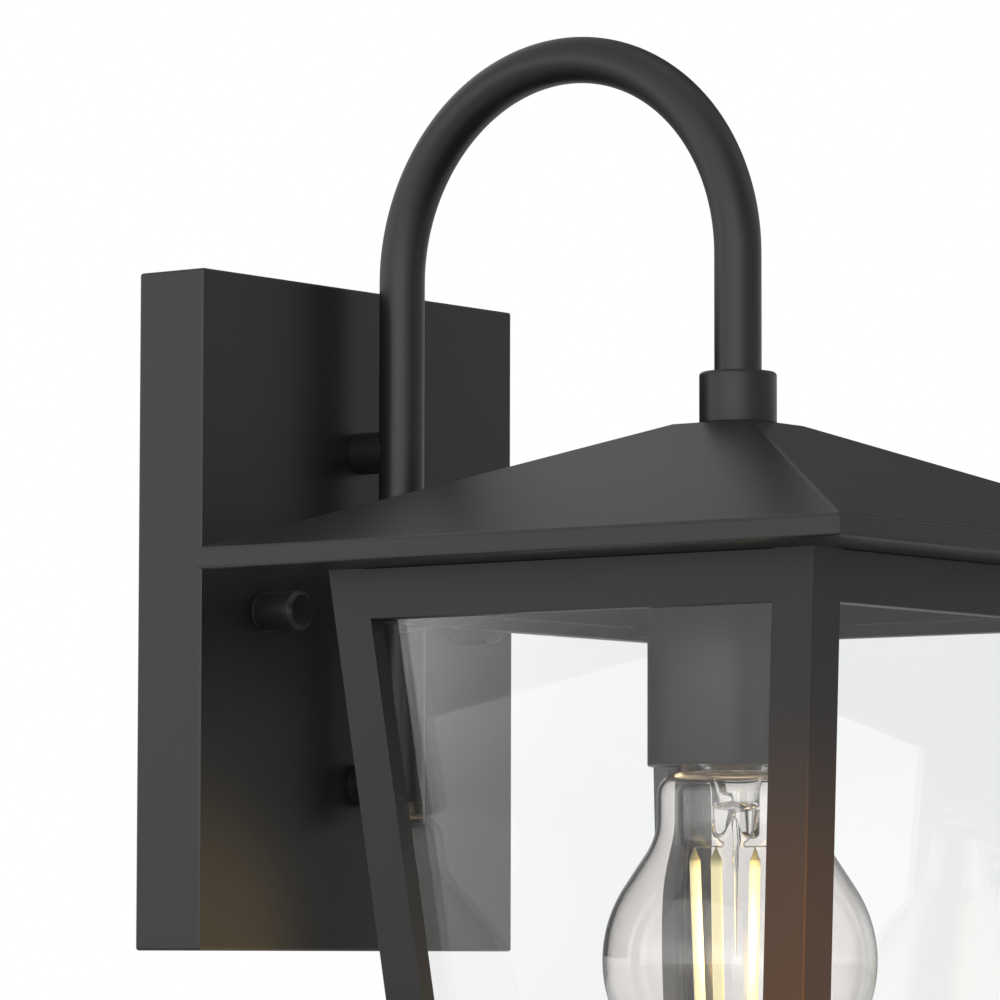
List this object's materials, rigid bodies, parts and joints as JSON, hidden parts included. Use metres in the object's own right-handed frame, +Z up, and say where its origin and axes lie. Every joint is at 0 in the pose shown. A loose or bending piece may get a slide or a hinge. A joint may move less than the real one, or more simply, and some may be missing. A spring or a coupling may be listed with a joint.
{
  "type": "outdoor wall lantern",
  "caption": "Wall lantern with a deep rectangular backplate, a gooseneck tube arm, a hipped roof and a tapered clear-glass cage around a filament lamp.",
  "frame": {"origin": "centre of the backplate's rear opening on the wall plane, midway between the two outlet box screws", "axes": "+Y points into the wall, so the lantern stands out towards -Y; +Z is up; +X is to the right seen from the front"},
  "size_m": [0.1676, 0.2083, 0.3089],
  "materials": {
    "black_paint": "matte black powder coat with a fine grain",
    "zinc_steel": "zinc-plated steel, satin",
    "clip_steel": "spring steel, satin",
    "green_screw": "green-dyed zinc plate",
    "copper": "bare copper wire",
    "rubber": "matte black rubber",
    "porcelain": "glazed white porcelain",
    "brass": "pressed brass",
    "black_insulation": "black lead insulation",
    "white_insulation": "white lead insulation",
    "orange_plastic": "orange moulded plastic",
    "pane_glass": "clear flat glass",
    "bulb_glass": "clear blown glass",
    "stem_glass": "clear glass, pressed",
    "nickel": "nickel-plated, rolled thread",
    "black_insulator": "glossy black insulator",
    "solder": "tinned contact",
    "driver_board": "green circuit board",
    "filament": "phosphor-coated light-emitting rod",
    "wire_steel": "bright nickel wire"
  },
  "bodies": {
    "fixture": {"mounting_strap": "zinc_steel", "mounting_studs": "zinc_steel", "stud_nuts": "zinc_steel", "ground_screw": "green_screw", "ground_lead": "copper", "ground_terminal": "zinc_steel", "backplate": "black_paint", "upper_standoff": "black_paint", "lower_standoff": "black_paint", "standoff_washers": "zinc_steel", "standoff_nuts": "zinc_steel", "gooseneck_tube": "black_paint", "tube_plug": "black_paint", "collar": "black_paint", "roof_washer": "zinc_steel", "roof_nut": "zinc_steel", "threaded_nipple": "zinc_steel", "roof": "black_paint", "ceiling_plate": "black_paint", "socket_cup": "black_paint", "socket_body": "porcelain", "socket_cap": "zinc_steel", "socket_cap_screws": "zinc_steel", "socket_lock_nut": "zinc_steel", "screw_shell": "brass", "centre_contact": "brass", "lead_live": "black_insulation", "lead_neutral": "white_insulation", "wire_connectors": "orange_plastic", "glass_clips": "clip_steel", "post_front_left": "black_paint", "post_front_right": "black_paint", "post_back_right": "black_paint", "post_back_left": "black_paint", "top_rail_front": "black_paint", "bottom_rail_front": "black_paint", "glass_front": "pane_glass", "top_rail_right": "black_paint", "bottom_rail_right": "black_paint", "glass_right": "pane_glass", "top_rail_back": "black_paint", "bottom_rail_back": "black_paint", "glass_back": "pane_glass", "top_rail_left": "black_paint", "bottom_rail_left": "black_paint", "glass_left": "pane_glass"},
    "lamp_carrier": {"bulb_contact": "solder"},
    "lamp": {"bulb_glass": "bulb_glass", "bulb_base": "nickel", "bulb_insulator": "black_insulator", "bulb_driver": "driver_board", "bulb_stem": "stem_glass", "filaments": "filament", "filament_wires": "wire_steel"},
    "left_nut_carrier": {"seal_left": "rubber"},
    "left_nut": {"cap_nut_left": "black_paint"},
    "right_nut_carrier": {"seal_right": "rubber"},
    "right_nut": {"cap_nut_right": "black_paint"}
  },
  "joints": [
    {"name": "lamp_travel", "type": "slide", "parent": "fixture", "child": "lamp_carrier", "axis": [0, 0, -1], "range_m": [0, 0.01996]},
    {"name": "lamp_turn", "type": "hinge", "parent": "lamp_carrier", "child": "lamp", "pos_m": [0, -0.12455, -0.06], "axis": [0, 0, -1], "range_deg": [0, 1981]},
    {"name": "left_nut_travel", "type": "slide", "parent": "fixture", "child": "left_nut_carrier", "axis": [0, -1, 0], "range_m": [0, 0.00714]},
    {"name": "left_nut_turn", "type": "hinge", "parent": "left_nut_carrier", "child": "left_nut", "pos_m": [-0.0349, -0.024, 0], "axis": [0, -1, 0], "range_deg": [0, 3241]},
    {"name": "right_nut_travel", "type": "slide", "parent": "fixture", "child": "right_nut_carrier", "axis": [0, -1, 0], "range_m": [0, 0.00714]},
    {"name": "right_nut_turn", "type": "hinge", "parent": "right_nut_carrier", "child": "right_nut", "pos_m": [0.0349, -0.024, 0], "axis": [0, -1, 0], "range_deg": [0, 3241]}
  ],
  "couplings": [
    {"joint": "lamp_turn", "follows": "lamp_travel", "rad_per_m": 1731.4},
    {"joint": "left_nut_turn", "follows": "left_nut_travel", "rad_per_m": 7915.8},
    {"joint": "right_nut_turn", "follows": "right_nut_travel", "rad_per_m": 7915.8}
  ]
}
